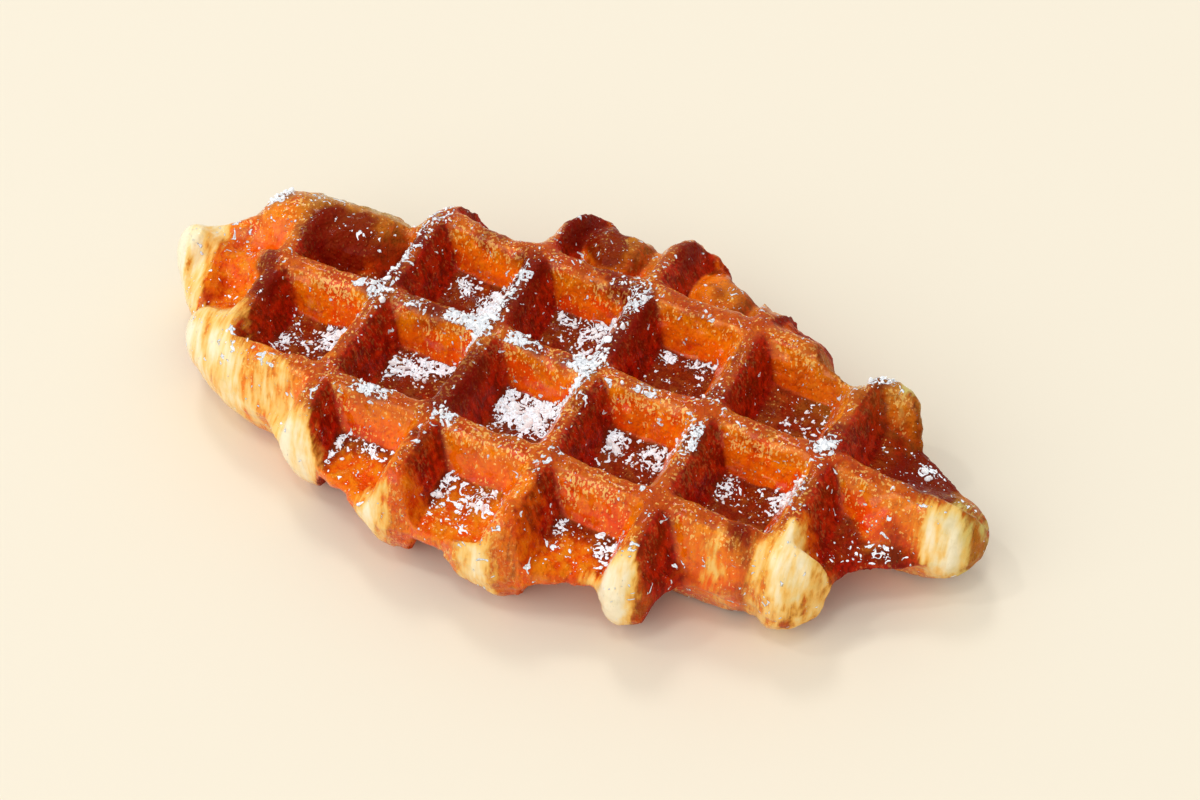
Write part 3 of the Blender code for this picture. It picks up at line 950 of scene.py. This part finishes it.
def scatter_nodes(name, subdivisions, material):
    tree = bpy.data.node_groups.new(name, "GeometryNodeTree")
    new_input(tree, "Pastry", "NodeSocketObject")
    new_input(tree, "Density", "NodeSocketFloat", 100000.0)
    new_input(tree, "Smallest", "NodeSocketFloat", 0.2)
    new_input(tree, "Largest", "NodeSocketFloat", 0.6)
    new_input(tree, "Needed", "NodeSocketFloat", 0.3)
    new_input(tree, "Seed", "NodeSocketInt", 1)
    tree.interface.new_socket("Sugar", in_out="OUTPUT", socket_type="NodeSocketGeometry")
    start = tree.nodes.new("NodeGroupInput")
    end = tree.nodes.new("NodeGroupOutput")
    source = tree.nodes.new("GeometryNodeObjectInfo")
    tree.links.new(start.outputs["Pastry"], source.inputs["Object"])

    def stored(label):
        node = tree.nodes.new("GeometryNodeInputNamedAttribute")
        node.data_type = "FLOAT"
        node.inputs["Name"].default_value = label
        return Num(tree, node.outputs["Attribute"])

    place = tree.nodes.new("GeometryNodeInputPosition").outputs[0]
    drift = rough(tree, place, PATCHY_SIZE, 51.0, 2.0)
    lying = ease(tree, stored("up") - stored("lee") * 0.45, 0.5, 0.95)
    wanted = (stored("sugar") + 0.03 + drift * 0.2) * lying
    needed = Num(tree, start.outputs["Needed"])
    over = ease(tree, wanted, needed, needed + SUGAR_FADE)
    points = tree.nodes.new("GeometryNodeDistributePointsOnFaces")
    points.distribute_method = "RANDOM"
    plug(tree, points.inputs["Mesh"], source.outputs["Geometry"])
    plug(tree, points.inputs["Density"], over * Num(tree, start.outputs["Density"]))
    plug(tree, points.inputs["Seed"], start.outputs["Seed"])

    def random_value(kind, low, high, offset):
        node = tree.nodes.new("FunctionNodeRandomValue")
        node.data_type = kind
        sockets = {"FLOAT": (2, 3, 1), "FLOAT_VECTOR": (0, 1, 0)}[kind]
        plug(tree, node.inputs[sockets[0]], low)
        plug(tree, node.inputs[sockets[1]], high)
        seed = Num(tree, start.outputs["Seed"]) + float(offset)
        plug(tree, node.inputs["Seed"], seed)
        return node.outputs[sockets[2]]

    ball = tree.nodes.new("GeometryNodeMeshIcoSphere")
    plug(tree, ball.inputs["Radius"], MM)
    plug(tree, ball.inputs["Subdivisions"], subdivisions)
    placed = tree.nodes.new("GeometryNodeInstanceOnPoints")
    plug(tree, placed.inputs["Points"], points.outputs["Points"])
    plug(tree, placed.inputs["Instance"], ball.outputs["Mesh"])
    turn = random_value("FLOAT_VECTOR", (0, 0, 0), (FULL_TURN, FULL_TURN, FULL_TURN), 1)
    plug(tree, placed.inputs["Rotation"], turn)
    pick = Num(tree, random_value("FLOAT", 0.0, 1.0, 2))
    least, most = (Num(tree, start.outputs[n]) for n in ("Smallest", "Largest"))
    size = least + (most - least) * pick * pick * pick
    stretch = random_value("FLOAT_VECTOR", SLIMMEST, FATTEST, 3)
    scale = tree.nodes.new("ShaderNodeVectorMath")
    scale.operation = "SCALE"
    plug(tree, scale.inputs[0], stretch)
    plug(tree, scale.inputs["Scale"], size)
    plug(tree, placed.inputs["Scale"], scale.outputs[0])
    real = tree.nodes.new("GeometryNodeRealizeInstances")
    plug(tree, real.inputs[0], placed.outputs[0])
    ragged = rough(tree, place, RAGGED_SIZE, 52.0, 2.0) * RAGGED_HEIGHT
    normal = tree.nodes.new("GeometryNodeInputNormal").outputs[0]
    shift = tree.nodes.new("ShaderNodeVectorMath")
    shift.operation = "SCALE"
    plug(tree, shift.inputs[0], normal)
    plug(tree, shift.inputs["Scale"], ragged)
    rugged = tree.nodes.new("GeometryNodeSetPosition")
    plug(tree, rugged.inputs["Geometry"], real.outputs[0])
    plug(tree, rugged.inputs["Offset"], shift.outputs[0])
    painted = tree.nodes.new("GeometryNodeSetMaterial")
    plug(tree, painted.inputs["Geometry"], rugged.outputs[0])
    painted.inputs["Material"].default_value = material
    tree.links.new(painted.outputs[0], end.inputs[0])
    return tree


print("lumps are made ragged by about", round(RAGGED_HEIGHT / MM, 2), "mm")


# %% Scatter lumps and grains
def scatter(name, subdivisions, **settings):
    made = bpy.data.objects.new(name, bpy.data.meshes.new(name))
    bpy.context.scene.collection.objects.link(made)
    strew = made.modifiers.new("strew", "NODES")
    strew.node_group = scatter_nodes(name, subdivisions, sugar)
    set_input(strew, "Pastry", pastry)
    for label, value in settings.items():
        set_input(strew, label, value)
    mesh = plain_mesh(made)
    made.modifiers.clear()
    made.data = mesh
    mesh.shade_smooth()
    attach(made, "root")
    print(name + ":", triangles(mesh), "triangles")


scatter("sugar_lumps", 2, Density=700000.0, Smallest=0.35, Largest=1.0, Needed=0.4, Seed=3)
scatter("sugar_grains", 1, Density=900000.0, Smallest=0.2, Largest=0.6, Needed=0.1, Seed=7)

# %% [markdown]
# ## Floor
#
# A plain pale floor, matt and large enough to fill the frame from any side.

# %% Floor
FLOOR_COLOUR = (0.87, 0.775, 0.615, 1.0)
FLOOR_SIDE = 6.0


def floor_material():
    material = bpy.data.materials.new("plain_floor")
    material.use_nodes = True
    shader = material.node_tree.nodes["Principled BSDF"]
    shader.inputs["Base Color"].default_value = FLOOR_COLOUR
    shader.inputs["Roughness"].default_value = 0.9
    return material


bpy.ops.mesh.primitive_plane_add(size=FLOOR_SIDE)
floor = bpy.context.object
floor.name = "floor"
floor.data.materials.append(floor_material())
print("floor side:", FLOOR_SIDE, "m")

# %% [markdown]
# ## Light
#
# A bright, slightly cool surround fills the pockets. The main light is above and behind on the
# left, which puts the soft shadow in front. A wide one from the front left lights the walls that
# face the camera and leaves the others dark. One from above whitens the sugar, and a small one
# makes the short glints on the caramel. Each is a disc, given by the direction it stands in, its
# size in metres and its power in watts.

# %% Surround and lights
SURROUND_COLOUR = (0.93, 0.97, 1.0, 1.0)
SURROUND_STRENGTH = 0.72
LIGHT_DISTANCE = 5.0
LIGHTS = {
    "main_light": ((-0.35, 0.4, 0.85), 1.0, 36.0),
    "front_light": ((-0.45, -0.75, 0.7), 5.0, 84.0),
    "top_light": ((-0.05, -0.15, 1.0), 0.8, 24.0),
    "glint_light": ((-0.45, -0.15, 0.8), 0.35, 16.0),
}

world = bpy.data.worlds.new("soft_white")
world.use_nodes = True
background = world.node_tree.nodes["Background"]
background.inputs["Color"].default_value = SURROUND_COLOUR
background.inputs["Strength"].default_value = SURROUND_STRENGTH
bpy.context.scene.world = world


def soft_light(name, towards, size, power):
    light = bpy.data.lights.new(name, "AREA")
    light.shape = "DISK"
    light.size = size
    light.energy = power
    holder = bpy.data.objects.new(name, light)
    bpy.context.scene.collection.objects.link(holder)
    direction = Vector(towards).normalized()
    holder.location = direction * LIGHT_DISTANCE
    holder.rotation_euler = direction.to_track_quat("Z", "Y").to_euler()


for light_name, (towards, size, power) in LIGHTS.items():
    soft_light(light_name, towards, size, power)
print(len(LIGHTS), "lights")

# %% [markdown]
# ## Camera
#
# The camera's place comes from the crossings of the ridges, which lie on a square grid: their
# places in the photo give its direction, 26 degrees round and 50 above. It looks at a place inside
# the croffle, given in millimetres before the move to the middle.

# %% Camera
FIELD_OF_VIEW = 28.0
AZIMUTH = math.radians(25.876)
ELEVATION = math.radians(49.928)
DISTANCE = 442.73
LOOKED_AT = Vector((8.612, 2.086, 13.638))
NEAREST = 10.0

camera = bpy.data.objects.new("camera", bpy.data.cameras.new("camera"))
bpy.context.scene.collection.objects.link(camera)
camera.data.sensor_fit = "HORIZONTAL"
camera.data.angle = math.radians(FIELD_OF_VIEW)
camera.data.clip_start = NEAREST * MM
level = Vector((math.sin(AZIMUTH), -math.cos(AZIMUTH), 0.0))
back = level * math.cos(ELEVATION) + Vector((0.0, 0.0, math.sin(ELEVATION)))
camera.location = (LOOKED_AT + MOVE) * MM + back * DISTANCE * MM
camera.rotation_euler = back.to_track_quat("Z", "Y").to_euler()
bpy.context.scene.camera = camera
bpy.context.scene.view_settings.view_transform = "Standard"
print("camera at", [round(v * 1000) for v in camera.location], "mm")
